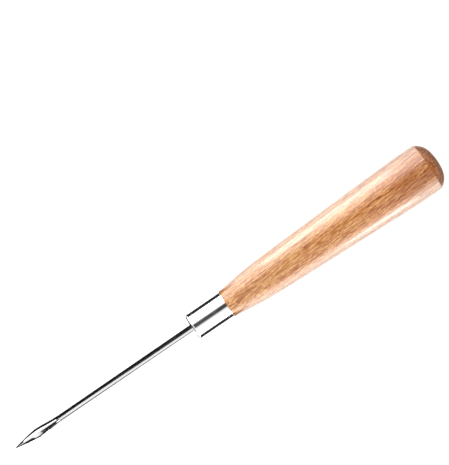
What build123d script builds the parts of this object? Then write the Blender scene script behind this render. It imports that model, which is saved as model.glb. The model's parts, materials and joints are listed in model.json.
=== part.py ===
"""Scratch awl: a turned beech handle, a drawn steel ferrule, a spear-point blade and the tang's glue.

Millimetres. A station is a distance along the tool's axis, from the blade's point at 0 to the butt. The awl
lies on a bench at Z = 0, on the straight taper of its handle, with its point towards -X and its leaf flat.
"""

import os
from math import asin, atan2, cos, degrees, pi, radians, sin, tan

from build123d import *

# Overall
BLADE_REACH = 69.4  # the point to the ferrule's nose
FERRULE_LENGTH = 13.4
HANDLE_LENGTH = 82.2  # the shoulder to the butt, without the tenon

# Blade: one forged rod, with a leaf-shaped point, a round shank and a tang with two flats
POINT_DIAMETER = 0.1
LEAF_LENGTH = 18.3
LEAF_WIDEST = 8.6  # station of the leaf's widest section
LEAF_WIDTH = 3.15
LEAF_THICKNESS = 1.1
LEAF_FULLNESS = 0.3  # how far its sides bulge out from the straight in front of the widest section
LEAF_FRONT_STEPS = 2  # steps between its sections in front of the widest one
LEAF_BACK_STEPS = 3  # and behind it
NECK_DIAMETER = 2.05  # where the leaf runs out into the shank
SHANK_DIAMETER = 2.25  # at the ferrule's nose, and along the tang
TANG_LENGTH = 42.0  # the part behind the ferrule's nose
TANG_FLAT_LENGTH = 12.0
TANG_FLAT_THICKNESS = 1.4
TANG_CHAMFER = 0.5

# Ferrule: a drawn cap
FERRULE_DIAMETER = 8.8
FERRULE_WALL = 0.4
FERRULE_CORNER = 0.8  # outside radius between the side and the nose
FERRULE_RIM = 0.12  # radius on the two edges of the open rim

# Handle: turned, with a tenon for the ferrule and a drilled bore for the tang
SHOULDER_HEIGHT = 0.34  # how far the wood stands out past the ferrule
SHOULDER_CHAMFER = 0.25
SWELL_LENGTH = 20.5  # the shoulder to the start of the straight taper
SWELL_DIAMETER = 13.35
BELLY_LENGTH = 17.0  # the end of the straight taper to the butt
TAPER_DIAMETER = 16.75  # at the end of the straight taper
RIM_SLOPE = radians(-1.3)  # slope of the side where it meets the domed end
RIM_RADIUS = 0.5
DOME_HEIGHT = 4.1
CROWN_RADIUS = 17.0  # the middle of the domed end
CROWN_WIDTH = 8.4
TENON_CHAMFER = 0.5
DRILL_POINT_ANGLE = radians(118)

# Fits, radial or along the axis
SHANK_CLEARANCE = 0.08  # between the shank and the ferrule's pierced hole
FERRULE_FIT = 0.02  # between the tenon and the ferrule
TENON_GAP = 0.15  # between the tenon's end and the inside of the ferrule's nose
GLUE_THICKNESS = 0.2  # round the tang
BORE_RELIEF = 1.0  # the tang's end to the end of the bore's full width
GLUE_SETBACK = 0.6  # how far the glue stops short of the tenon's end

# Stations
ferrule_nose = BLADE_REACH
shoulder = ferrule_nose + FERRULE_LENGTH
butt = shoulder + HANDLE_LENGTH
taper_start = shoulder + SWELL_LENGTH
taper_end = butt - BELLY_LENGTH
rim = butt - DOME_HEIGHT
tenon_end = ferrule_nose + FERRULE_WALL + TENON_GAP
tang_end = ferrule_nose + TANG_LENGTH
bore_end = tang_end + BORE_RELIEF

# Distances from the axis
shank_radius = SHANK_DIAMETER / 2
ferrule_radius = FERRULE_DIAMETER / 2
ferrule_inside = ferrule_radius - FERRULE_WALL
hole_radius = shank_radius + SHANK_CLEARANCE
bore_radius = shank_radius + GLUE_THICKNESS
tenon_radius = ferrule_inside - FERRULE_FIT
nose_radius = ferrule_radius + SHOULDER_HEIGHT
taper_radius = TAPER_DIAMETER / 2

# The side curves in from the taper's slope to the rim's as one arc, so its chord has the mean of the two.
taper_slope = atan2((TAPER_DIAMETER - SWELL_DIAMETER) / 2, taper_end - taper_start)
rim_radius = taper_radius + (rim - taper_end) * tan((taper_slope + RIM_SLOPE) / 2)

# The awl rests along its taper, or on the taper's end and the blade's point where that leans it less.
lie = min(taper_slope, atan2(taper_radius, taper_end))
point_height = taper_radius * cos(lie) - taper_end * sin(lie)
point_x = -((butt - CROWN_RADIUS) * cos(lie) + CROWN_RADIUS) / 2
crown_angle = degrees(asin(CROWN_WIDTH / 2 / CROWN_RADIUS))

# In the profile plane, local X is the station and local Y the distance from the axis.
along = Vector(cos(lie), 0, sin(lie))
profile = Plane(origin=(point_x, 0, point_height), x_dir=along, z_dir=(0, -1, 0))
tool_axis = Axis(profile.origin, along)


def cross_section(station):
    """The plane across the axis at a station: local X is level and local Y is up."""
    return Plane(origin=profile.from_local_coords((station, 0, 0)), x_dir=(0, 1, 0), z_dir=along)


def nearest_corner(sketch, station, distance):
    """The corner of a sketch that is nearest to a station and a distance from the axis."""
    return sketch.vertices().sort_by_distance((station, distance))[0]


def leaf_size(station):
    """The leaf's width and thickness: nearly straight to the widest section, then an S to the neck."""
    if station < LEAF_WIDEST:
        share = station / LEAF_WIDEST
        share *= 1 + LEAF_FULLNESS * (1 - share)
        width = POINT_DIAMETER + (LEAF_WIDTH - POINT_DIAMETER) * share
        thickness = POINT_DIAMETER + (LEAF_THICKNESS - POINT_DIAMETER) * share
    else:
        share = (1 - cos(pi * (station - LEAF_WIDEST) / (LEAF_LENGTH - LEAF_WIDEST))) / 2
        width = LEAF_WIDTH + (NECK_DIAMETER - LEAF_WIDTH) * share
        thickness = LEAF_THICKNESS + (NECK_DIAMETER - LEAF_THICKNESS) * share
    return width, thickness


def bore_outline(front):
    """Half the outline of the bore for the tang, from a station to the bottom that the drill leaves."""
    Polyline(
        (front, 0),
        (front, bore_radius),
        (bore_end, bore_radius),
        (bore_end + bore_radius / tan(DRILL_POINT_ANGLE / 2), 0),
        close=True,
    )


with BuildPart() as blade:
    leaf_runs = ((0, LEAF_WIDEST, LEAF_FRONT_STEPS), (LEAF_WIDEST, LEAF_LENGTH, LEAF_BACK_STEPS))
    for first, last, steps in leaf_runs:
        for step in range(steps + 1):
            station = first + (last - first) * step / steps
            leaf_width, leaf_thickness = leaf_size(station)
            with BuildSketch(cross_section(station)):
                Ellipse(leaf_width / 2, leaf_thickness / 2)
        loft()
    with BuildSketch(profile):
        with BuildLine():
            Polyline(
                (LEAF_LENGTH, 0),
                (LEAF_LENGTH, NECK_DIAMETER / 2),
                (ferrule_nose, shank_radius),
                (tang_end, shank_radius),
                (tang_end, 0),
                close=True,
            )
        shank = make_face()
        chamfer(nearest_corner(shank, tang_end, shank_radius), TANG_CHAMFER)
    revolve(axis=tool_axis)
    # What is outside the two flats is cut off.
    flats_middle = tang_end - TANG_FLAT_LENGTH / 2
    with BuildSketch(profile):
        for side in (1, -1):
            with Locations((flats_middle, side * (TANG_FLAT_THICKNESS + SHANK_DIAMETER) / 2)):
                Rectangle(TANG_FLAT_LENGTH, SHANK_DIAMETER)
    extrude(amount=SHANK_DIAMETER, both=True, mode=Mode.SUBTRACT)

with BuildPart() as ferrule:
    with BuildSketch(profile):
        with BuildLine():
            Polyline(
                (ferrule_nose, hole_radius),
                (ferrule_nose, ferrule_radius),
                (shoulder, ferrule_radius),
                (shoulder, ferrule_inside),
                (ferrule_nose + FERRULE_WALL, ferrule_inside),
                (ferrule_nose + FERRULE_WALL, hole_radius),
                close=True,
            )
        cap = make_face()
        outer_corner = nearest_corner(cap, ferrule_nose, ferrule_radius)
        inner_corner = nearest_corner(cap, ferrule_nose + FERRULE_WALL, ferrule_inside)
        rim_corners = cap.vertices().group_by(Axis.X)[-1]
        fillet(outer_corner, FERRULE_CORNER)
        fillet(inner_corner, FERRULE_CORNER - FERRULE_WALL)
        fillet(rim_corners, FERRULE_RIM)
    revolve(axis=tool_axis)

with BuildPart() as handle:
    with BuildSketch(profile):
        with BuildLine():
            Polyline(
                (tenon_end, 0),
                (tenon_end, tenon_radius),
                (shoulder, tenon_radius),
                (shoulder, nose_radius),
            )
            taper = Line((taper_start, SWELL_DIAMETER / 2), (taper_end, taper_radius))
            TangentArc(taper @ 0, (shoulder, nose_radius), tangent=-(taper % 0))
            TangentArc(taper @ 1, (rim, rim_radius), tangent=taper % 1)
            crown = CenterArc((butt - CROWN_RADIUS, 0), CROWN_RADIUS, 0, crown_angle)
            TangentArc(crown @ 1, (rim, rim_radius), tangent=crown % 1)
            Line(crown @ 0, (tenon_end, 0))
        half = make_face()
        tenon_corner = nearest_corner(half, tenon_end, tenon_radius)
        shoulder_corner = nearest_corner(half, shoulder, nose_radius)
        rim_corner = nearest_corner(half, rim, rim_radius)
        chamfer(tenon_corner, TENON_CHAMFER)
        chamfer(shoulder_corner, SHOULDER_CHAMFER)
        fillet(rim_corner, RIM_RADIUS)
    revolve(axis=tool_axis)
    with BuildSketch(profile):
        with BuildLine():
            bore_outline(tenon_end)
        make_face()
    revolve(axis=tool_axis, mode=Mode.SUBTRACT)

with BuildPart() as tang_glue:
    with BuildSketch(profile):
        with BuildLine():
            bore_outline(tenon_end + GLUE_SETBACK)
        make_face()
    revolve(axis=tool_axis)
    add(blade.part, mode=Mode.SUBTRACT)

blade.part.label = "blade"
ferrule.part.label = "ferrule"
handle.part.label = "handle"
tang_glue.part.label = "tang_glue"

os.makedirs("parts", exist_ok=True)
export_step(blade.part, "parts/blade.step")
export_step(ferrule.part, "parts/ferrule.step")
export_step(handle.part, "parts/handle.step")
export_step(tang_glue.part, "parts/tang_glue.step")
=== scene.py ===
"""Scratch awl: the looks of its turned beech handle, drawn ferrule, leaf-pointed blade and glued tang."""

import json
from math import asin, atan2, cos, hypot, pi, radians, sin, tan

import bpy
import numpy as np
from mathutils import Matrix, Vector


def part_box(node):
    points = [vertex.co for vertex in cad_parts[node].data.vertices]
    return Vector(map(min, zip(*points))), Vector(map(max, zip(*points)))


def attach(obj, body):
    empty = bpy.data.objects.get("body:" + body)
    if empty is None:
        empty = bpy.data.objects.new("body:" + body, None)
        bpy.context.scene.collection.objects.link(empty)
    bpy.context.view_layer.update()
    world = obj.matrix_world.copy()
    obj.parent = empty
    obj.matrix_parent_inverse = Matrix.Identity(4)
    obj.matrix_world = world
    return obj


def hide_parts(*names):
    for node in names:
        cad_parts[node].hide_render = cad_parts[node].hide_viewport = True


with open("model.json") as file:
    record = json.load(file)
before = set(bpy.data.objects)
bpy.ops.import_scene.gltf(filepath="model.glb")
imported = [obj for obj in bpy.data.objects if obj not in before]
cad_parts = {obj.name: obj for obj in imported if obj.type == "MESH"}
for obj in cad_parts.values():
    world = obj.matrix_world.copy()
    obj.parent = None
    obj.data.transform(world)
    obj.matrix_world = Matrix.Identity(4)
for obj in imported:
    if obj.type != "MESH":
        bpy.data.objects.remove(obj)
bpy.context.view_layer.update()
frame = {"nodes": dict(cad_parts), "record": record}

bl_info = {
    "name": "Scratch Awl",
    "version": (1, 0, 0),
    "blender": (4, 5, 0),
    "location": "View3D > Sidebar > Scratch Awl",
    "description": "Builds a scratch awl's handle, ferrule, blade and studio around its CAD frame",
    "category": "Object",
}

MM = 0.001

SMOOTH_ANGLE = radians(32)  # a sharper turn between two faces shows as an edge
HOLD_SHARE = 0.08  # how far from a rounded corner its shading is held, as a share of its radius
HOLD_ROOM = 1.5  # how much of the profile next to it makes room, as a share of that distance
FLATS_EASE = 0.3 * MM  # the run in which the tang's flats reach their depth

# The wood's patterns, in cells per millimetre along the grain, round the pith and away from the pith.
BEND_CELLS = (0.045, 0.12, 0.12)
DRIFT_CELLS = (0.02, 0.08, 0.3)
CLOUD_CELLS = (0.03, 0.2, 0.2)
FIBRE_CELLS = (0.11, 2.5, 2.5)
PORE_CELLS = (0.26, 2.9, 2.9)
SPECK_CELLS = (1.0, 3.0, 3.0)
WANDER_CELLS = (0.07, 0.6, 0.6)
BUNCH_CELLS = (0.42, 1.5, 1.5)
# The two sizes of ray: cells, how large the largest is within its cell, and how strongly it stains.
RAYS = (((0.34, 2.8, 0.8), 0.4, 0.65), ((0.55, 3.6, 1.4), 0.36, 0.7))

BEND_REACH = 0.9  # how far the grain strays sideways, in millimetres
PITH_REACH = 60.0  # from the pith to the wood, in millimetres
RINGS_PER_MM = 0.42
RING_SHARE = 0.12  # how strongly the late wood shows
RING_DRIFT = 2.2  # how many rings the drift moves them
STRAND_TURN = 5.0  # radians of the strands' wave in a millimetre
STRAND_WANDER = 15.0  # how many radians it strays
PALE_AND_LIT_FRONT = (85.0, 125.0)  # where the paler front by the ferrule runs out, in millimetres along the grain: partly the wood's own tone, partly painted light
DARK_AND_SHADED_BUTT = (136.0, 166.0)  # and where the darker domed end comes in: partly its end grain, partly painted shade
WOOD_RELIEF = 0.00001

# Hairlines on the metals, in cells per millimetre along, across and above the tool, and reliefs in metres.
PLATING_HAIRLINES = (14, 0.4, 0.4)
PLATING_RELIEF = 2e-7
STEEL_HAIRLINES = (0.25, 9, 9)
STEEL_RELIEF = 4e-7
SMEAR_CELLS = (0.3, 0.5, 0.5)
HAIRLINE_TINT = (0.62, 0.62, 0.63)
HAIRLINE_SHARE = 0.12

GLUE_CLOUD_CELLS = (0.8, 0.8, 0.8)
BUBBLES_PER_MM = 2.5
BUBBLE_RELIEF = 0.00003

WHITE = (1, 1, 1, 1)

# The tent. Each range is followed by the values at its two ends, unless they are 0 and 1 or stand beside it.
# Angles are measured from straight above: across the tool, positive behind it, or along it, positive towards
# the butt. The other ranges are of a direction's X or Z.
WALL_BEHIND = (radians(16), radians(54))
ROOF_BEHIND = 1.2
WALL_BEFORE = (radians(-90), radians(-44))
ROOF_BEFORE = 1.1
WALL_FOOT = (radians(96), radians(138), 1.0, 0.3)
BUTT_END = (0.15, 0.55, 1.0, 0.16)
POINT_END = (-0.75, -0.48, 0.07, 1.0)
GAP_ACROSS = (radians(8), radians(31), 1.0, 0.0)
GAP_ALONG = (radians(-9), radians(-6.5))
GAP_DARKNESS = 0.97
LEAN_TO_POINT = 0.55
LEAN_BACK = 0.2
SOFT_LIGHT = (0.2, 1.0, 0.12, 1.8)

# The lights: the target, the azimuth and elevation in degrees, the distance, the width and the height.
SOFTBOXES = {
    "key_softbox": ((0.036, 0, 0.008), 90, 11, 0.3, 0.097, 0.18),
    "fill_strip": ((0.066, 0, 0.008), -90, -5, 0.3, 0.044, 0.095),
}

# The cards that put dark and light lines on the metal: an outline of widths and heights, where it starts and
# ends along X, all in millimetres, and its radiance.
CARDS = {
    "ferrule_card_behind": (((5, 0.5), (24, 0.5)), -14.5, 0.8, 0.03),
    "ferrule_shade_behind": (((24, 0.5), (60, 0.5)), -14.5, 0.5, 0.3),
    "ferrule_card_before": (((-5, 0.5), (-24, 0.5)), -14.5, 0.8, 0.03),
    "ferrule_shade_before": (((-24, 0.5), (-60, 0.5)), -14.5, 0.5, 0.3),
    "shank_card_behind": (((0.55, 8), (5, 8), (5, 0.5), (1.5, 0.5)), -67, -13.2, 0.01),
    "shank_card_before": (((-0.8, 8), (-5, 8), (-5, 5)), -66, -13.4, 1.1),
    "shank_shade_before": (((-5, 5.5), (-5, 0.5), (-1.5, 0.5)), -70, -13.4, 0.15),
    "leaf_card_behind": (((8, 15), (14, 15), (60, 0.5), (3, 0.5)), -180, -66, 0.02),
    "leaf_card_before": (((-10, 15), (-60, 0.5)), -150, -70, 0.02),
    "leaf_card_front": (((-4, 15), (-10, 15)), -98, -79, 0.02),
    "leaf_card_point": (((8, 15), (-3, 15)), -104, -85.0, 0.02),
    "leaf_card_tip": (((8, 15), (1.2, 15)), -85.0, -83.0, 0.02),
    "leaf_card_back": (((-1, 15), (-10, 15)), -75.4, -64, 0.01),
}

# The tool's own axes. A station is a distance along the axis, from 0 at the blade's point to the butt.
barrel = next(mount for mount in frame["record"]["mounts"] if mount["name"] == "ferrule_barrel")
barrel_middle = np.array(barrel["pos_m"])
along = -np.array(barrel["axis"]) / np.linalg.norm(barrel["axis"])
level = np.array((0.0, 1.0, 0.0))
upward = np.cross(along, level)
lie = asin(along[2])

blade_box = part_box("blade")
ferrule_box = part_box("ferrule")
handle_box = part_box("handle")
point = barrel_middle + along * (blade_box[0].x - barrel_middle[0]) / along[0]
barrel_radius = barrel["dims"]["r_mm"] * MM
barrel_length = barrel["dims"]["length_mm"] * MM
barrel_station = (barrel_middle - point) @ along
butt = (handle_box[1].x - point[0]) / along[0]
shoulder = (ferrule_box[1].x - point[0] - barrel_radius * sin(lie)) / along[0]


def length(name, description, default):
    """A size in metres that a user may change."""
    limits = {"min": 0, "precision": 5, "subtype": "DISTANCE", "unit": "LENGTH"}
    return bpy.props.FloatProperty(name=name, description=description, default=default, **limits)


def offset(name, description, default):
    """A place in metres along one axis that a user may change."""
    return bpy.props.FloatProperty(name=name, description=description, default=default, unit="LENGTH")


def angle(name, description, default):
    """An angle, given here in degrees, that a user may change."""
    kind = {"subtype": "ANGLE", "unit": "ROTATION"}
    return bpy.props.FloatProperty(name=name, description=description, default=radians(default), **kind)


def factor(name, description, default):
    """A plain number from 0 to 1 that a user may change."""
    limits = {"min": 0, "max": 1, "subtype": "FACTOR"}
    return bpy.props.FloatProperty(name=name, description=description, default=default, **limits)


def strength(name, description, default):
    """A light's radiance, in watts per square metre and steradian."""
    return bpy.props.FloatProperty(name=name, description=description, default=default, min=0)


def colour(name, description, default):
    """A linear colour that a user may change."""
    limits = {"size": 3, "min": 0, "max": 1, "subtype": "COLOR"}
    return bpy.props.FloatVectorProperty(name=name, description=description, default=default, **limits)


def facets(part, default):
    """How many facets go round a part."""
    description = f"Facets round the {part}"
    return bpy.props.IntProperty(name="Segments", description=description, default=default, min=12)


# --- Shapes ---------------------------------------------------------------------------------------


def arc(start, end, heading, steps):
    """A circular arc between two points, leaving the first along a heading.

    At a share t of its turn it is the chord's length times sin(t b) / sin(b) away from the start, in the
    heading turned by t b, where b is the angle from the heading to the chord.
    """
    start = np.asarray(start, float)
    chord = np.asarray(end, float) - start
    turn = atan2(chord[1], chord[0]) - atan2(heading[1], heading[0])
    turn = (turn + pi) % (2 * pi) - pi
    share = np.linspace(0, 1, steps + 1)
    direction = atan2(heading[1], heading[0]) + share * turn
    reach = hypot(*chord) * np.sin(share * turn) / sin(turn)
    return start + reach[:, None] * np.stack((np.cos(direction), np.sin(direction)), -1)


def straight(start, end, steps):
    """Evenly spaced points from one point to another."""
    return np.linspace(start, end, steps + 1)


def joined(*runs):
    """Runs of points end to end, each without the first point that it shares with the one before."""
    return np.vstack([runs[0]] + [run[1:] for run in runs[1:]])


def rounded(profile, corner, radius, steps=6):
    """A profile whose corner nearest to a point is rounded.

    An arc replaces all that is nearer to the corner than r tan(c / 2), where r is the radius and c the
    corner's turn. The headings are read at least half a radius away. A point close beside each end of the
    arc keeps the shading of what meets it flat.
    """
    at = int(np.argmin(np.hypot(*(profile - np.asarray(corner)).T)))
    apex = profile[at]
    distance = np.hypot(*(profile - apex).T)
    before = profile[:at][::-1]
    after = profile[at + 1:]
    into = apex - before[np.argmax(distance[:at][::-1] > radius / 2)]
    out = after[np.argmax(distance[at + 1:] > radius / 2)] - apex
    into /= hypot(*into)
    out /= hypot(*out)
    half_turn = abs(atan2(into[0] * out[1] - into[1] * out[0], into @ out)) / 2
    cut = radius * tan(half_turn)
    first = apex - into * cut
    last = apex + out * cut
    hold = radius * HOLD_SHARE
    clear = cut + hold * HOLD_ROOM
    keep_before = profile[:at][distance[:at] > clear]
    keep_after = after[distance[at + 1:] > clear]
    bend = arc(first, last, into, steps)
    return np.vstack((keep_before, first - into * hold, bend, last + out * hold, keep_after))


def place(station, sideways, height):
    """Points of the tool: the blade's point plus a station along it, a distance to the side and a height."""
    parts = np.broadcast_arrays(station, sideways, height)
    return point + parts[0][..., None] * along + parts[1][..., None] * level + parts[2][..., None] * upward


def lathe(profile, segments):
    """A profile of stations and radii carried round the axis: to the side by r cos a, and up by r sin a."""
    turn = np.linspace(0, 2 * pi, segments, endpoint=False)
    return place(profile[:, 0, None], profile[:, 1, None] * np.cos(turn), profile[:, 1, None] * np.sin(turn))


def skin(name, grid, poles=()):
    """A closed mesh over a grid of points whose columns go round the axis.

    Four-sided faces join neighbouring rows. Two poles close the ends with fans of triangles. Without poles
    the last row joins the first. The faces are turned over if the volume that they enclose is negative.
    """
    rows, columns = grid.shape[:2]
    index = np.arange(rows * columns).reshape(rows, columns)
    points = grid.reshape(-1, 3)
    fans = np.empty((0, 3), int)
    if len(poles):
        points = np.vstack((points, poles))
        first = np.full(columns, rows * columns)
        fans = np.vstack((
            np.stack((first, np.roll(index[0], -1), index[0]), -1),
            np.stack((first + 1, index[-1], np.roll(index[-1], -1)), -1),
        ))
    else:
        index = np.vstack((index, index[:1]))
    near, far = index[:-1], index[1:]
    quads = np.stack((near, np.roll(near, -1, 1), np.roll(far, -1, 1), far), -1).reshape(-1, 4)
    triangles = np.vstack((quads[:, :3], quads[:, [0, 2, 3]], fans))
    a, b, c = (points[triangles[:, i]] - points[0] for i in range(3))
    if np.einsum("ij,ij->", a, np.cross(b, c)) < 0:
        quads, fans = quads[:, ::-1], fans[:, ::-1]
    mesh = bpy.data.meshes.new(name)
    mesh.from_pydata(points, [], quads.tolist() + fans.tolist())
    mesh.shade_smooth()
    mesh.set_sharp_from_angle(angle=SMOOTH_ANGLE)
    piece = bpy.data.objects.new(name, mesh)
    bpy.context.scene.collection.objects.link(piece)
    return piece


def finish_piece(piece, node, material):
    """Gives a piece its material, hangs it from the root body and hides the CAD node that it stands for."""
    piece.data.materials.append(material)
    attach(piece, "root")
    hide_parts(node)


# --- Materials ------------------------------------------------------------------------------------


class Nodes:
    """The node tree of a new material or world, with short calls that add nodes and join them."""

    def __init__(self, owner):
        owner.use_nodes = True
        owner.node_tree.nodes.clear()
        self.owner = owner

    def add(self, kind, inputs=None, **settings):
        """Adds a node, sets its properties, and fills its inputs with numbers or other nodes' outputs."""
        node = self.owner.node_tree.nodes.new("ShaderNode" + kind)
        for name, value in settings.items():
            setattr(node, name, value)
        for key, value in (inputs or {}).items():
            if isinstance(value, bpy.types.NodeSocket):
                self.owner.node_tree.links.new(value, node.inputs[key])
            else:
                node.inputs[key].default_value = value
        return node

    def math(self, operation, *values):
        """The result of a Math node."""
        return self.add("Math", dict(enumerate(values)), operation=operation).outputs[0]

    def spread(self, value, low, high, to_low=0.0, to_high=1.0):
        """A value taken smoothly from one range to another, and held at its ends."""
        inputs = {0: value, 1: low, 2: high, 3: to_low, 4: to_high}
        return self.add("MapRange", inputs, interpolation_type="SMOOTHSTEP").outputs[0]

    def stretched(self, coordinates, scales):
        """Coordinates multiplied by a scale along each axis."""
        return self.add("VectorMath", {0: coordinates, 1: scales}, operation="MULTIPLY").outputs[0]

    def noise(self, coordinates, cells, detail=2.0, roughness=0.5, distortion=0.0):
        """Fractal noise from 0 to 1, with a number of cells in a unit along each axis."""
        inputs = {"Vector": self.stretched(coordinates, cells), "Scale": 1.0, "Detail": detail}
        inputs.update({"Roughness": roughness, "Distortion": distortion})
        return self.add("TexNoise", inputs).outputs[0]

    def blend(self, share, first, second, mode="MIX"):
        """Two colours mixed by a share from 0 to 1."""
        first, second = (c if isinstance(c, bpy.types.NodeSocket) else (*c, 1) for c in (first, second))
        inputs = {0: share, 6: first, 7: second}
        return self.add("Mix", inputs, data_type="RGBA", blend_type=mode).outputs[2]

    def tool_coordinates(self, turn=0.0):
        """Object coordinates in millimetres from the blade's point: X along the tool, Y level, Z up.

        The turn is about the tool's upward axis, for a grain that doesn't run quite along the tool.
        """
        place_node = {"Vector": self.add("TexCoord").outputs["Object"], "Location": tuple(point)}
        place_node.update({"Rotation": (0, -lie, turn), "Scale": (MM, MM, MM)})
        return self.add("Mapping", place_node, vector_type="TEXTURE").outputs[0]

    def surface(self, inputs, height=None, depth=0.0):
        """The Principled shader, with a bump of a depth in metres, and the output."""
        inputs = dict(inputs)
        if height is not None:
            bump = self.add("Bump", {"Strength": 1.0, "Distance": depth, "Height": height})
            inputs["Normal"] = bump.outputs[0]
        shader = self.add("BsdfPrincipled", inputs)
        self.add("OutputMaterial", {"Surface": shader.outputs[0]})
        return self.owner


def new_material(name):
    """The empty node tree of a new material."""
    return Nodes(bpy.data.materials.new(name))


def beech(settings):
    """Lacquered beech.

    Its own axes are the distance along the grain, the way round the pith and the distance from the pith,
    in millimetres, after a slow bend. Growth rings and warm clouds colour it first, then a paler front by
    the ferrule that is partly painted light and a darker domed end that is partly painted shade. Fibres,
    waving strands, pores and specks come next. Last come the dark lens shapes of its rays: all that lies
    nearer to a
    Voronoi cell's middle than a size that the cell's own luck gives.
    """
    make = new_material("lacquered_beech")
    grain = make.tool_coordinates(settings.grain_slope)
    bend = make.add("TexNoise", {"Vector": make.stretched(grain, BEND_CELLS), "Scale": 1.0}).outputs["Color"]
    bend = make.add("VectorMath", {0: bend, 1: (-0.5, -0.5, -0.5)}, operation="ADD").outputs[0]
    bend = make.stretched(bend, (0.0, BEND_REACH, BEND_REACH))
    grain = make.add("VectorMath", {0: bend, 1: grain}, operation="ADD").outputs[0]
    grain = make.add("VectorMath", {0: grain, 1: settings.pith}, operation="SUBTRACT").outputs[0]
    axes = make.add("SeparateXYZ", {0: grain}).outputs
    squares = make.math("MULTIPLY_ADD", axes[1], axes[1], make.math("MULTIPLY", axes[2], axes[2]))
    distance = make.math("SQRT", squares)
    around = make.math("MULTIPLY", make.math("ARCTAN2", axes[1], axes[2]), PITH_REACH)
    wood = make.add("CombineXYZ", {0: axes[0], 1: around, 2: distance}).outputs[0]

    drift = make.math("MULTIPLY", make.noise(wood, DRIFT_CELLS), RING_DRIFT)
    ring = make.math("FRACT", make.math("MULTIPLY_ADD", distance, RINGS_PER_MM, drift))
    late = make.math("MULTIPLY", make.spread(ring, 0.1, 0.86), make.spread(ring, 0.88, 1.0, 1.0, 0.0))
    cloud = make.noise(wood, CLOUD_CELLS)
    fibre = make.noise(wood, FIBRE_CELLS, 1.0, 0.6)
    wander = make.math("MULTIPLY", make.noise(wood, WANDER_CELLS, 1.0), STRAND_WANDER)
    strand = make.math("SINE", make.math("MULTIPLY_ADD", axes[1], STRAND_TURN, wander))
    strand = make.spread(strand, 0.1, 0.9)
    bunch = make.spread(make.noise(wood, BUNCH_CELLS, 0.0), 0.4, 0.52)
    pore = make.noise(wood, PORE_CELLS, 0.0)
    speck = make.noise(wood, SPECK_CELLS, 0.0)

    tone = make.blend(make.math("MULTIPLY", late, RING_SHARE), settings.early_wood, settings.late_wood)
    tone = make.blend(make.spread(cloud, 0.4, 0.64, 0.0, 0.5), tone, settings.red_wood)
    # Paler towards the ferrule: partly the wood's own tone, partly painted light.
    tone = make.blend(make.spread(axes[0], *PALE_AND_LIT_FRONT, 0.35, 0.0), tone, settings.pale_wood_and_light)
    # Darker at the domed end: partly its end grain, partly painted shade.
    tone = make.blend(make.spread(axes[0], *DARK_AND_SHADED_BUTT, 0.0, 0.9), tone, settings.end_wood_and_shade)
    tone = make.blend(make.spread(fibre, 0.38, 0.48, 0.4, 0.0), tone, settings.pale_wood_and_light)
    for mark, stain in (
        (make.spread(fibre, 0.49, 0.6, 0.0, 0.6), settings.fibre_stain),
        (make.math("MULTIPLY", strand, bunch), settings.ray_stain),
        (make.spread(pore, 0.54, 0.61, 0.0, 0.9), settings.ray_stain),
        (make.spread(speck, 0.48, 0.62, 0.0, 0.8), settings.fibre_stain),
    ):
        tone = make.blend(mark, tone, stain, "MULTIPLY")
    flecks = []
    for cells, size, share in RAYS:
        ray = make.add("TexVoronoi", {"Vector": make.stretched(wood, cells), "Scale": 1.0}, feature="F1")
        luck = make.add("SeparateColor", {0: ray.outputs["Color"]}).outputs[0]
        edge = make.math("MULTIPLY", make.spread(luck, 0.45, 0.95), size)
        inside = make.math("SUBTRACT", ray.outputs["Distance"], edge)
        flecks.append(make.math("MULTIPLY", make.spread(inside, -0.14, 0.02, 1.0, 0.0), share))
        tone = make.blend(flecks[-1], tone, settings.ray_stain, "MULTIPLY")
    relief = make.math("SUBTRACT", fibre, make.math("ADD", *flecks))
    lacquer = {
        "Base Color": tone,
        "Roughness": make.spread(fibre, 0.3, 0.7, 0.4, 0.5),
        "Specular IOR Level": 0.36,
        "Specular Tint": (1.0, 0.97, 0.7, 1.0),
        "Coat Weight": 0.9,
        "Coat Roughness": 0.13,
        "Coat IOR": 1.5,
    }
    return make.surface(lacquer, relief, WOOD_RELIEF)


def bright_metal(name, settings, hairlines, relief):
    """Polished metal: hairlines along or round the tool, faint smears in its gloss and a shallow relief."""
    make = new_material(name)
    tool = make.tool_coordinates()
    hairline = make.noise(tool, hairlines, 3.0, 0.6)
    smear = make.noise(tool, SMEAR_CELLS, 3.0, 0.6, 0.4)
    shade = make.math("MULTIPLY", make.spread(hairline, 0.45, 0.75), HAIRLINE_SHARE)
    inputs = {
        "Base Color": make.blend(shade, settings.tint, HAIRLINE_TINT),
        "Metallic": 1.0,
        "Roughness": make.spread(smear, 0.3, 0.7, settings.gloss_low, settings.gloss_high),
    }
    return make.surface(inputs, hairline, relief)


def amber_glue(settings):
    """Cured glue: an amber, slightly cloudy plastic with trapped bubbles."""
    make = new_material("cured_glue")
    tool = make.tool_coordinates()
    cloud = make.noise(tool, GLUE_CLOUD_CELLS, 3.0)
    bubble = make.add("TexVoronoi", {"Vector": tool, "Scale": BUBBLES_PER_MM}, feature="F1")
    bubble = make.spread(bubble.outputs["Distance"], 0.08, 0.2, 1.0, 0.0)
    tone = make.blend(make.spread(cloud, 0.3, 0.7), settings.clear_tint, settings.cloud_tint)
    rough = make.spread(cloud, 0.2, 0.8, 0.25, 0.45)
    return make.surface({"Base Color": tone, "Roughness": rough}, bubble, BUBBLE_RELIEF)


# --- Settings -------------------------------------------------------------------------------------


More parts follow.
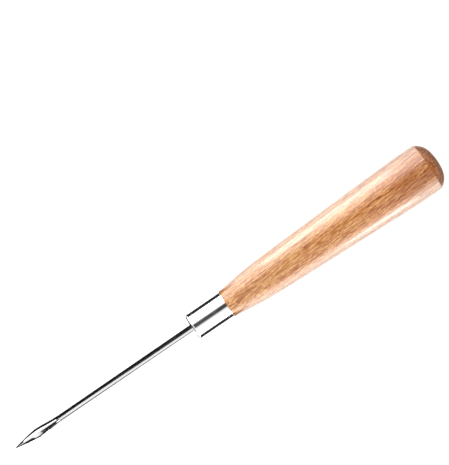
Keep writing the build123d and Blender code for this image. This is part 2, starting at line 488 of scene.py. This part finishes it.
class AwlHandleSettings(bpy.types.PropertyGroup):
    """Sizes and colours of the turned handle."""

    shoulder_height: length("Shoulder Height", "How far the wood stands out past the ferrule", 0.34 * MM)
    shoulder_radius: length("Shoulder Edge", "Radius of the edge next to the ferrule", 0.25 * MM)
    swell_length: length("Swell Length", "From the shoulder to the straight taper", 20.5 * MM)
    swell_radius: length("Swell Radius", "Radius where the straight taper starts", 6.675 * MM)
    taper_radius: length("Taper Radius", "Radius where the straight taper ends", 8.375 * MM)
    belly_length: length("Belly Length", "From the taper's end to the butt", 17.0 * MM)
    dome_height: length("Dome Height", "From the rim to the butt", 4.1 * MM)
    rim_slope: angle("Rim Slope", "How far the side leans in where it meets the dome", 1.3)
    rim_radius: length("Rim Edge", "Radius of the edge between the side and the dome", 0.5 * MM)
    crown_radius: length("Crown Radius", "Radius of the middle of the dome", 17.0 * MM)
    crown_width: length("Crown Width", "Width of the middle of the dome", 8.4 * MM)
    tenon_fit: length("Tenon Fit", "Gap between the tenon and the ferrule", 0.02 * MM)
    tenon_gap: length("Tenon Gap", "Gap in front of the tenon", 0.15 * MM)
    tenon_edge: length("Tenon Edge", "Radius of the tenon's front edge", 0.4 * MM)
    bore_radius: length("Bore Radius", "Radius of the bore for the tang", 1.325 * MM)
    bore_depth: length("Bore Depth", "From the ferrule's nose to the bottom of the bore", 43.0 * MM)
    drill_angle: angle("Drill Point", "Angle of the bottom that the drill leaves", 118)
    grain_slope: angle("Grain Slope", "How far the grain turns away from the tool's axis", 4.5)
    pith: bpy.props.FloatVectorProperty(
        name="Pith", description="Where the tree's middle lies, in millimetres", default=(0, -38, -46)
    )
    early_wood: colour("Early Wood", "The light part of a growth ring", (0.70, 0.355, 0.125))
    late_wood: colour("Late Wood", "The dark part of a growth ring", (0.50, 0.18, 0.05))
    red_wood: colour("Red Wood", "The warm clouds in the wood", (0.60, 0.225, 0.07))
    # The palest fibres, and also the paler front by the ferrule, which is partly painted light.
    pale_wood_and_light: colour("Pale Wood", "The palest fibres", (0.84, 0.52, 0.25))
    # The domed end's colour: partly its darker end grain, partly painted shade.
    end_wood_and_shade: colour("End Wood", "The darker wood of the domed end", (0.42, 0.14, 0.032))
    fibre_stain: colour("Fibres", "How much light the dark fibres let through", (0.74, 0.55, 0.42))
    ray_stain: colour("Rays", "How much light the short dark flecks let through", (0.67, 0.47, 0.32))
    segments: facets("handle", 192)


class AwlFerruleSettings(bpy.types.PropertyGroup):
    """Sizes and finish of the drawn ferrule."""

    wall: length("Wall", "Thickness of the drawn sheet", 0.4 * MM)
    corner: length("Corner", "Outside radius between the side and the nose", 0.8 * MM)
    rim: length("Rim", "Radius of the open end's edges", 0.12 * MM)
    hole_radius: length("Hole Radius", "Radius of the hole for the blade", 1.205 * MM)
    tint: colour("Tint", "Colour of the plating", (0.90, 0.90, 0.905))
    gloss_low: factor("Roughness Low", "Roughness where the plating is cleanest", 0.07)
    gloss_high: factor("Roughness High", "Roughness where it is smeared", 0.12)
    segments: facets("ferrule", 144)


class AwlBladeSettings(bpy.types.PropertyGroup):
    """Sizes and finish of the blade."""

    point_radius: length("Point Radius", "Radius of the very point", 0.05 * MM)
    leaf_length: length("Leaf Length", "From the point to the neck", 18.3 * MM)
    leaf_widest: length("Widest Station", "From the point to the leaf's widest section", 8.6 * MM)
    leaf_width: length("Leaf Width", "Width of the leaf", 3.15 * MM)
    leaf_thickness: length("Leaf Thickness", "Between the leaf's two flats", 1.1 * MM)
    leaf_fullness: factor("Leaf Fullness", "How far its front sides bulge", 0.3)
    leaf_roundness: bpy.props.FloatProperty(
        name="Leaf Roundness",
        description="Exponent of the leaf's section: 1 is a diamond, and 2 is an ellipse",
        default=1.6,
    )
    neck_diameter: length("Neck Diameter", "Where the leaf runs out into the shank", 2.05 * MM)
    shank_diameter: length("Shank Diameter", "At the ferrule, and along the tang", 2.25 * MM)
    tang_length: length("Tang Length", "Behind the ferrule's nose", 42.0 * MM)
    tang_flat_length: length("Tang Flats", "Length of the tang's two flats", 12.0 * MM)
    tang_flat_thickness: length("Tang Flat Thickness", "Between the tang's two flats", 1.4 * MM)
    tang_chamfer: length("Tang Chamfer", "Chamfer on the tang's end", 0.5 * MM)
    tint: colour("Tint", "Colour of the steel", (0.80, 0.80, 0.79))
    gloss_low: factor("Roughness Low", "Roughness where the steel is best polished", 0.06)
    gloss_high: factor("Roughness High", "Roughness where it is least polished", 0.1)
    rows: bpy.props.IntProperty(name="Rows", description="Sections along the leaf", default=120, min=12)
    segments: facets("blade", 96)


class AwlGlueSettings(bpy.types.PropertyGroup):
    """Colours of the glue round the tang."""

    clear_tint: colour("Clear", "Colour where the glue is clear", (0.30, 0.17, 0.05))
    cloud_tint: colour("Cloudy", "Colour where the glue is cloudy", (0.42, 0.29, 0.12))


class AwlStageSettings(bpy.types.PropertyGroup):
    """The camera, the lights and the floor."""

    camera_distance: length("Camera Distance", "Height of the camera above the bench", 0.6)
    camera_x: offset("Camera X", "The camera's place along the tool", -0.00984)
    camera_y: offset("Camera Y", "The camera's place across it", 0.01944)
    camera_roll: angle("Camera Roll", "How far the tool rises across the camera's view", 34.334)
    camera_lens: bpy.props.FloatProperty(name="Lens", description="In millimetres", default=142.61)
    floor_size: length("Floor", "Width of the floor", 6.0)
    floor_tint: colour("Floor Tint", "Colour of the floor", (0.9, 0.9, 0.9))
    floor_glow: strength("Floor Glow", "Light that shines through the floor", 0.45)
    room_light: strength("Room Light", "The tent's even light", 1.06)
    tent_gloss: strength("Tent Gloss", "How bright the tent's sides look in a gloss", 6.6)
    key_light: strength("Key Light", "The softbox behind the tool", 6.5)
    fill_light: strength("Fill Light", "The strip in front of the tool", 8.0)


# --- Pieces ---------------------------------------------------------------------------------------


def nose_station(ferrule):
    """The station of the ferrule's nose: the barrel's middle, less half its length and the nose's corner."""
    return barrel_station - barrel_length / 2 - ferrule.corner


def handle_profile(size, ferrule):
    """The handle's stations and radii, from the butt to the bottom of the bore.

    Arcs make the crown, the dome, the belly and the swell, and each leaves along its neighbour's heading.
    The belly's chord has the mean of the slopes at its two ends, so its arc runs from the taper's slope to
    the rim's. The taper, the shoulder, the tenon, the bore and the drill's cone are straight.
    """
    nose = nose_station(ferrule)
    rim = butt - size.dome_height
    taper_start = (shoulder + size.swell_length, size.swell_radius)
    taper_end = (butt - size.belly_length, size.taper_radius)
    taper = np.subtract(taper_end, taper_start)
    side_lean = (atan2(taper[1], taper[0]) - size.rim_slope) / 2
    rim_corner = (rim, size.taper_radius + (rim - taper_end[0]) * tan(side_lean))
    crown_half = size.crown_width / 2
    crown_depth = size.crown_radius * (1 - cos(asin(crown_half / size.crown_radius)))
    crown_edge = (butt - crown_depth, crown_half)
    crown_slope = atan2(crown_half, size.crown_radius)
    shoulder_corner = (shoulder, barrel_radius + size.shoulder_height)
    tenon_radius = barrel_radius - ferrule.wall - size.tenon_fit
    tenon_end = nose + ferrule.wall + size.tenon_gap
    bore_end = nose + size.bore_depth
    bore_tip = bore_end + size.bore_radius / tan(size.drill_angle / 2)
    profile = joined(
        arc((butt, 0), crown_edge, (0, 1), 10),
        arc(crown_edge, rim_corner, (-sin(crown_slope), cos(crown_slope)), 16),
        arc(taper_end, rim_corner, taper, 16)[::-1],
        straight(taper_end, taper_start, 30),
        arc(taper_start, shoulder_corner, -taper, 40),
        straight(shoulder_corner, (shoulder, tenon_radius), 4),
        straight((shoulder, tenon_radius), (tenon_end, tenon_radius), 8),
        straight((tenon_end, tenon_radius), (tenon_end, size.bore_radius), 6),
        straight((tenon_end, size.bore_radius), (bore_end, size.bore_radius), 12),
        straight((bore_end, size.bore_radius), (bore_tip, 0), 4),
    )
    profile = rounded(profile, rim_corner, size.rim_radius)
    profile = rounded(profile, shoulder_corner, size.shoulder_radius)
    return rounded(profile, (tenon_end, tenon_radius), size.tenon_edge)


def ferrule_profile(size):
    """The stations and radii round the ferrule's wall: straight sides, and arcs at its corners and rim."""
    nose = nose_station(size)
    inside = barrel_radius - size.wall
    corners = [
        (nose, size.hole_radius),
        (nose, barrel_radius),
        (shoulder, barrel_radius),
        (shoulder, inside),
        (nose + size.wall, inside),
        (nose + size.wall, size.hole_radius),
        (nose, size.hole_radius),
    ]
    steps = (12, 40, 4, 30, 10, 4)
    profile = joined(*(straight(*corners[i:i + 2], steps[i]) for i in range(len(steps))))[:-1]
    profile = np.roll(profile, -2, 0)
    profile = rounded(profile, (nose, barrel_radius), size.corner, 12)
    profile = rounded(profile, (nose + size.wall, inside), size.corner - size.wall, 8)
    profile = rounded(profile, (shoulder, barrel_radius), size.rim)
    return rounded(profile, (shoulder, inside), size.rim)


def blade_grid(size, nose):
    """The blade's sections, and its two poles.

    At a share f of the way to the widest section the leaf has grown by f (1 + b (1 - f)), where b is its
    fullness. At a share g of the way from there to the neck it has turned into the shank by
    (1 - cos(pi g)) / 2, and the shank grows evenly up to the ferrule. A section is w |cos a|^(2 / n) to the
    side and h |sin a|^(2 / n) up, with the signs of cos a and sin a. Its exponent n goes from the leaf's
    roundness to 2, an ellipse, and the tang's flats cut its height off.
    """
    tang_end = nose + size.tang_length
    flats = tang_end - size.tang_flat_length
    chamfer_start = tang_end - size.tang_chamfer
    station = np.concatenate((
        np.linspace(0, size.leaf_widest, size.rows, endpoint=False),
        np.linspace(size.leaf_widest, size.leaf_length, size.rows, endpoint=False),
        np.linspace(size.leaf_length, nose, 24, endpoint=False),
        np.linspace(nose, flats, 8, endpoint=False),
        np.linspace(flats, flats + FLATS_EASE, 4, endpoint=False),
        np.linspace(flats + FLATS_EASE, chamfer_start, 8, endpoint=False),
        np.linspace(chamfer_start, tang_end, 4),
    ))
    front = np.clip(station / size.leaf_widest, 0, 1)
    front = front * (1 + size.leaf_fullness * (1 - front))
    behind = np.clip((station - size.leaf_widest) / (size.leaf_length - size.leaf_widest), 0, 1)
    behind = (1 - np.cos(pi * behind)) / 2
    neck = size.neck_diameter / 2
    grow = np.clip((station - size.leaf_length) / (nose - size.leaf_length), 0, 1)
    grow = grow * (size.shank_diameter / 2 - neck)
    chamfer = np.clip(station - chamfer_start, 0, None)
    width, height = (
        size.point_radius + (widest - size.point_radius) * front + (neck - widest) * behind + grow - chamfer
        for widest in (size.leaf_width / 2, size.leaf_thickness / 2)
    )
    cut_in = np.clip((station - flats) / FLATS_EASE, 0, 1)
    flat = height + (np.minimum(size.tang_flat_thickness / 2, height) - height) * cut_in
    roundness = (size.leaf_roundness + (2 - size.leaf_roundness) * behind)[:, None]
    turn = np.linspace(0, 2 * pi, size.segments, endpoint=False)
    sideways, up = (
        reach[:, None] * np.sign(wave) * np.abs(wave) ** (2 / roundness)
        for reach, wave in ((width, np.cos(turn)), (height, np.sin(turn)))
    )
    up = np.clip(up, -flat[:, None], flat[:, None])
    return place(station[:, None], sideways, up), place(station[[0, -1]], 0, 0)


class AWL_OT_handle(bpy.types.Operator):
    """Build the turned beech handle."""

    bl_idname = "awl.handle"
    bl_label = "Handle"

    def execute(self, context):
        size = context.scene.awl_handle
        profile = handle_profile(size, context.scene.awl_ferrule)
        grid = lathe(profile[1:-1], size.segments)
        piece = skin("beech_handle", grid, place(profile[[0, -1], 0], 0, 0))
        finish_piece(piece, "handle", beech(size))
        return {"FINISHED"}


class AWL_OT_ferrule(bpy.types.Operator):
    """Build the drawn ferrule."""

    bl_idname = "awl.ferrule"
    bl_label = "Ferrule"

    def execute(self, context):
        size = context.scene.awl_ferrule
        piece = skin("drawn_ferrule", lathe(ferrule_profile(size), size.segments))
        plating = bright_metal("bright_plating", size, PLATING_HAIRLINES, PLATING_RELIEF)
        finish_piece(piece, "ferrule", plating)
        return {"FINISHED"}


class AWL_OT_blade(bpy.types.Operator):
    """Build the blade with its leaf-shaped point and its tang."""

    bl_idname = "awl.blade"
    bl_label = "Blade"

    def execute(self, context):
        size = context.scene.awl_blade
        piece = skin("leaf_blade", *blade_grid(size, nose_station(context.scene.awl_ferrule)))
        steel = bright_metal("polished_steel", size, STEEL_HAIRLINES, STEEL_RELIEF)
        finish_piece(piece, "blade", steel)
        return {"FINISHED"}


class AWL_OT_glue(bpy.types.Operator):
    """Give the glue round the tang its material."""

    bl_idname = "awl.glue"
    bl_label = "Glue"

    def execute(self, context):
        glue = frame["nodes"]["tang_glue"]
        glue.data.materials.clear()
        glue.data.materials.append(amber_glue(context.scene.awl_glue))
        return {"FINISHED"}


# --- Stage ----------------------------------------------------------------------------------------


def aim(position, direction, roll):
    """A camera's matrix: it looks along a direction, and sees world X turned up from its right by a roll."""
    back = -Vector(direction).normalized()
    x_axis = (Vector((1, 0, 0)) - back * back.x).normalized()
    y_axis = back.cross(x_axis)
    right = x_axis * cos(roll) - y_axis * sin(roll)
    up = x_axis * sin(roll) + y_axis * cos(roll)
    return Matrix.Translation(position) @ Matrix((right, up, back)).transposed().to_4x4()


def softbox(name, target, azimuth, elevation, distance, width, height, radiance):
    """A rectangular light that shows in gloss, facing a target from an azimuth and an elevation round it."""
    azimuth, elevation = radians(azimuth), radians(elevation)
    lamp = bpy.data.lights.new(name, "AREA")
    lamp.shape = "RECTANGLE"
    lamp.size = width
    lamp.size_y = height
    lamp.energy = radiance * width * height * pi
    light = bpy.data.objects.new(name, lamp)
    toward = Vector((cos(azimuth) * cos(elevation), sin(azimuth) * cos(elevation), sin(elevation)))
    turned = toward.to_track_quat("Z", "Y").to_matrix().to_4x4()
    light.matrix_world = Matrix.Translation(Vector(target) + toward * distance) @ turned
    light.visible_camera = False
    light.visible_diffuse = False
    bpy.context.scene.collection.objects.link(light)


def card(name, outline, start, end, radiance):
    """A card that only gloss sees: an outline drawn out along X that gives off an even light."""
    outline = np.asarray(outline) * MM
    rows = [np.insert(outline, 0, place_x * MM, 1) for place_x in (start, end)]
    count = len(outline)
    faces = [(i, i + 1, count + i + 1, count + i) for i in range(count - 1)]
    mesh = bpy.data.meshes.new(name)
    mesh.from_pydata(np.vstack(rows), [], faces)
    make = new_material(name)
    glow = make.add("Emission", {"Color": WHITE, "Strength": radiance})
    make.add("OutputMaterial", {"Surface": glow.outputs[0]})
    mesh.materials.append(make.owner)
    board = bpy.data.objects.new(name, mesh)
    bpy.context.scene.collection.objects.link(board)
    board.visible_camera = False
    board.visible_diffuse = False
    board.visible_transmission = False
    board.visible_shadow = False


def tent(room_light, tent_gloss):
    """A light tent, white to the camera and brighter towards the point.

    Gloss sees two bright walls under a dimmer roof, a dark gap in the roof and two dim ends. The other light
    falls off from straight above to level, and leans towards the point and the back.
    """
    world = bpy.data.worlds.new("light_tent")
    bpy.context.scene.world = world
    make = Nodes(world)
    axes = make.add("SeparateXYZ", {0: make.add("TexCoord").outputs["Generated"]}).outputs
    across = make.math("ARCTAN2", axes[1], axes[2])
    sideways = make.math("ABSOLUTE", across)
    endways = make.math("ARCTAN2", axes[0], axes[2])
    behind = make.spread(across, *WALL_BEHIND, ROOF_BEHIND, tent_gloss)
    before = make.spread(across, *WALL_BEFORE, tent_gloss, ROOF_BEFORE)
    gloss = make.math("MAXIMUM", behind, before)
    gloss = make.math("MULTIPLY", gloss, make.spread(sideways, *WALL_FOOT))
    gloss = make.math("MULTIPLY", gloss, make.spread(axes[0], *BUTT_END))
    gloss = make.math("MULTIPLY", gloss, make.spread(axes[0], *POINT_END))
    gap = make.math("MULTIPLY", make.spread(sideways, *GAP_ACROSS), make.spread(endways, *GAP_ALONG))
    gap = make.math("MULTIPLY", gap, GAP_DARKNESS)
    gloss = make.math("MULTIPLY", gloss, make.math("SUBTRACT", 1.0, gap))
    lean = make.math("MULTIPLY_ADD", axes[1], LEAN_BACK, 1.0)
    lean = make.math("MULTIPLY_ADD", axes[0], -LEAN_TO_POINT, lean)
    soft = make.math("MULTIPLY", lean, make.spread(axes[2], *SOFT_LIGHT))
    soft = make.math("MULTIPLY", soft, room_light)
    path = make.add("LightPath").outputs
    level_light = make.math("MULTIPLY_ADD", path["Is Glossy Ray"], make.math("SUBTRACT", gloss, soft), soft)
    level_light = make.math("MAXIMUM", level_light, path["Is Camera Ray"])
    background = make.add("Background", {"Color": WHITE, "Strength": level_light})
    make.add("OutputWorld", {"Surface": background.outputs[0]})


class AWL_OT_stage(bpy.types.Operator):
    """Set up the camera, the lights and the floor."""

    bl_idname = "awl.stage"
    bl_label = "Stage"

    def execute(self, context):
        stage = context.scene.awl_stage
        scene = context.scene
        scene.view_settings.view_transform = "Standard"
        camera = bpy.data.cameras.new("camera")
        camera.sensor_width = 36
        camera.lens = stage.camera_lens
        camera.clip_start = 0.01
        camera_object = bpy.data.objects.new("camera", camera)
        position = (stage.camera_x, stage.camera_y, stage.camera_distance)
        camera_object.matrix_world = aim(position, -upward, stage.camera_roll)
        scene.collection.objects.link(camera_object)
        scene.camera = camera_object
        half = stage.floor_size / 2
        corners = [(-half, -half, 0), (half, -half, 0), (half, half, 0), (-half, half, 0)]
        mesh = bpy.data.meshes.new("floor")
        mesh.from_pydata(corners, [], [(0, 1, 2, 3)])
        floor = bpy.data.objects.new("floor", mesh)
        scene.collection.objects.link(floor)
        paper = {
            "Base Color": (*stage.floor_tint, 1),
            "Roughness": 0.9,
            "Emission Color": WHITE,
            "Emission Strength": stage.floor_glow,
        }
        mesh.materials.append(new_material("glowing_paper").surface(paper))
        floor.visible_glossy = False
        floor.visible_diffuse = False
        floor.visible_shadow = False
        for name, radiance in (("key_softbox", stage.key_light), ("fill_strip", stage.fill_light)):
            softbox(name, *SOFTBOXES[name], radiance)
        for name, placing in CARDS.items():
            card(name, *placing)
        tent(stage.room_light, stage.tent_gloss)
        return {"FINISHED"}


class AWL_PT_panel(bpy.types.Panel):
    """Lists the awl's pieces, their sizes and colours."""

    bl_label = "Scratch Awl"
    bl_space_type = "VIEW_3D"
    bl_region_type = "UI"
    bl_category = "Scratch Awl"

    def draw(self, context):
        for group, operator in GROUPS.items():
            box = self.layout.box()
            box.operator(operator.bl_idname)
            settings = getattr(context.scene, group)
            for name in settings.__annotations__:
                box.prop(settings, name)


GROUPS = {
    "awl_handle": AWL_OT_handle,
    "awl_ferrule": AWL_OT_ferrule,
    "awl_blade": AWL_OT_blade,
    "awl_glue": AWL_OT_glue,
    "awl_stage": AWL_OT_stage,
}
SETTINGS = (AwlHandleSettings, AwlFerruleSettings, AwlBladeSettings, AwlGlueSettings, AwlStageSettings)
CLASSES = (*SETTINGS, *GROUPS.values(), AWL_PT_panel)


def register():
    """Makes Blender know the settings, the operators and the panel."""
    for cls in CLASSES:
        bpy.utils.register_class(cls)
    for group, settings in zip(GROUPS, SETTINGS):
        setattr(bpy.types.Scene, group, bpy.props.PointerProperty(type=settings))


def unregister():
    """Takes them out again."""
    for group in GROUPS:
        delattr(bpy.types.Scene, group)
    for cls in reversed(CLASSES):
        bpy.utils.unregister_class(cls)


def main():
    register()
    bpy.ops.awl.handle()
    bpy.ops.awl.ferrule()
    bpy.ops.awl.blade()
    bpy.ops.awl.glue()
    bpy.ops.awl.stage()


if __name__ == "__main__":
    main()
